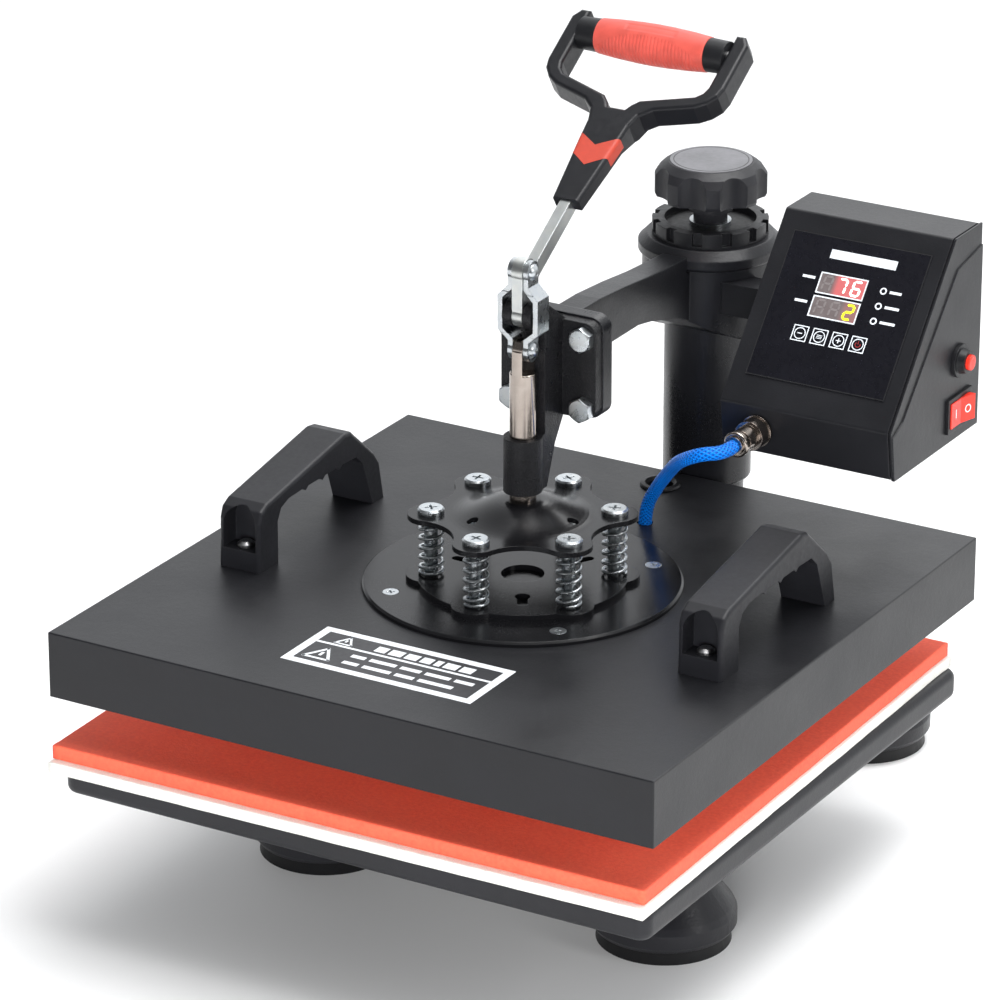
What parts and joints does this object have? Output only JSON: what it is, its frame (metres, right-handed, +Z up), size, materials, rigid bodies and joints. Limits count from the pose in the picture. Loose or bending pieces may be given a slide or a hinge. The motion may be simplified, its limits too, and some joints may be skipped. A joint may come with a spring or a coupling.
{
  "type": "swing-away heat press",
  "caption": "Bench heat press: a square heated platen on a swing-away arm, pressed down by a toggle lever through springs, with a control box.",
  "frame": {"origin": "on the bench, under the middle of the press's overall length and width", "axes": "+X to the operator's right, +Y away from the operator towards the post, +Z up"},
  "size_m": [0.4032, 0.5123, 0.4751],
  "materials": {
    "satin_black": "satin",
    "cast_black": "textured satin paint",
    "plate_black": "satin paint",
    "zinc": "bright zinc",
    "screw_steel": "bright",
    "nickel": "polished nickel",
    "spring_steel": "bright",
    "bare_aluminium": "machined",
    "felt_white": "felt",
    "sponge_red": "matt sponge",
    "foot_rubber": "matt",
    "fibre": "fibrous",
    "black_plastic": "satin",
    "panel_black": "semi-gloss film",
    "grip_red": "matt, ribbed",
    "switch_red": "gloss",
    "insert_grey": "satin",
    "lead_blue": "woven sleeve",
    "board_green": "satin"
  },
  "bodies": {
    "base": {"foot_pads": "foot_rubber", "base_legs": "cast_black", "front_crossbar": "cast_black", "rear_crossbar": "cast_black", "base_spine": "cast_black", "post": "satin_black", "height_nut": "zinc", "lower_plate": "plate_black", "felt_pad": "felt_white", "silicone_pad": "sponge_red", "base_bolts": "zinc"},
    "lift": {"castle_ring": "cast_black", "thrust_washer": "zinc"},
    "knob": {"height_knob": "black_plastic", "knob_insert": "insert_grey", "height_screw": "zinc"},
    "arm": {"arm_sleeve": "satin_black", "arm_casting": "cast_black", "hub_cap": "cast_black", "bracket_bolts": "zinc", "toggle_bracket": "cast_black", "pivot_pin": "zinc", "control_shell": "satin_black", "side_cover": "satin_black", "panel_overlay": "panel_black", "circuit_board": "board_green", "mains_inlet": "black_plastic", "box_bracket": "satin_black", "lead_socket": "nickel", "lead_plug": "nickel", "button_bezel": "black_plastic", "rocker_bezel": "black_plastic", "heater_lead": "lead_blue"},
    "lever": {"lever_bar": "zinc", "handle_yoke": "black_plastic", "grip_core": "screw_steel", "handle_grip": "grip_red", "grip_sleeves": "black_plastic"},
    "links": {"toggle_links": "zinc", "link_rivets": "zinc"},
    "plunger": {"plunger_rod": "nickel", "star_plate": "zinc", "springs": "spring_steel"},
    "platen": {"upper_housing": "satin_black", "heat_plate": "bare_aluminium", "insulation": "fibre", "adapter_disc": "satin_black", "disc_screws": "zinc", "spring_plate": "zinc", "shoulder_screws": "zinc", "side_handle_left": "black_plastic", "side_handle_right": "black_plastic", "handle_screws": "screw_steel", "wire_grommet": "black_plastic"},
    "reset": {"reset_button": "switch_red"},
    "rocker": {"power_rocker": "switch_red"},
    "minus": {"key_minus": "panel_black"},
    "mode": {"key_mode": "panel_black"},
    "plus": {"key_plus": "panel_black"},
    "power": {"key_power": "panel_black"}
  },
  "joints": [
    {"name": "arm_height", "type": "slide", "parent": "base", "child": "lift", "axis": [0, 0, 1], "range_m": [0, 0.012]},
    {"name": "knob_turn", "type": "hinge", "parent": "lift", "child": "knob", "pos_m": [-0.00473, 0.17265, 0.345], "axis": [0, 0, 1], "range_deg": [0, 1080.5]},
    {"name": "arm_swing", "type": "hinge", "parent": "lift", "child": "arm", "pos_m": [-0.00473, 0.17265, 0.328], "axis": [0, 0, 1], "continuous": true},
    {"name": "platen_press", "type": "slide", "parent": "arm", "child": "plunger", "axis": [0, 0, -1], "range_m": [0, 0.0255], "deforming": ["heater_lead"]},
    {"name": "platen_float", "type": "slide", "parent": "plunger", "child": "platen", "axis": [0, 0, 1], "range_m": [0, 0.005], "stiffness_N_per_m": 20000, "springref_m": -0.01, "deforming": ["springs"]},
    {"name": "lever_pivot", "type": "hinge", "parent": "arm", "child": "lever", "pos_m": [-0.00473, -0.04885, 0.346], "axis": [1, 0, 0], "range_deg": [0, 105]},
    {"name": "link_pivot", "type": "hinge", "parent": "lever", "child": "links", "pos_m": [-0.00473, -0.04885, 0.372], "axis": [1, 0, 0], "range_deg": [-72.7, 0]},
    {"name": "reset_press", "type": "slide", "parent": "arm", "child": "reset", "axis": [-1, 0, 0], "range_m": [0, 0.003], "stiffness_N_per_m": 600, "springref_m": -0.003},
    {"name": "rocker_tilt", "type": "hinge", "parent": "arm", "child": "rocker", "pos_m": [0.19317, 0.10715, 0.2745], "axis": [0, 0, 1], "range_deg": [0, 16]},
    {"name": "minus_key_press", "type": "slide", "parent": "arm", "child": "minus", "axis": [0, 0.7686, -0.6398], "range_m": [0, 0.0004], "stiffness_N_per_m": 1500, "springref_m": -0.0004},
    {"name": "mode_key_press", "type": "slide", "parent": "arm", "child": "mode", "axis": [0, 0.7686, -0.6398], "range_m": [0, 0.0004], "stiffness_N_per_m": 1500, "springref_m": -0.0004},
    {"name": "plus_key_press", "type": "slide", "parent": "arm", "child": "plus", "axis": [0, 0.7686, -0.6398], "range_m": [0, 0.0004], "stiffness_N_per_m": 1500, "springref_m": -0.0004},
    {"name": "power_key_press", "type": "slide", "parent": "arm", "child": "power", "axis": [0, 0.7686, -0.6398], "range_m": [0, 0.0004], "stiffness_N_per_m": 1500, "springref_m": -0.0004}
  ],
  "couplings": [
    {"joint": "knob_turn", "follows": "arm_height", "rad_per_m": 1570.8},
    {"joint": "lever_pivot", "follows": "platen_press", "rad_per_m": 71.86},
    {"joint": "link_pivot", "follows": "platen_press", "rad_per_m": -49.75}
  ]
}
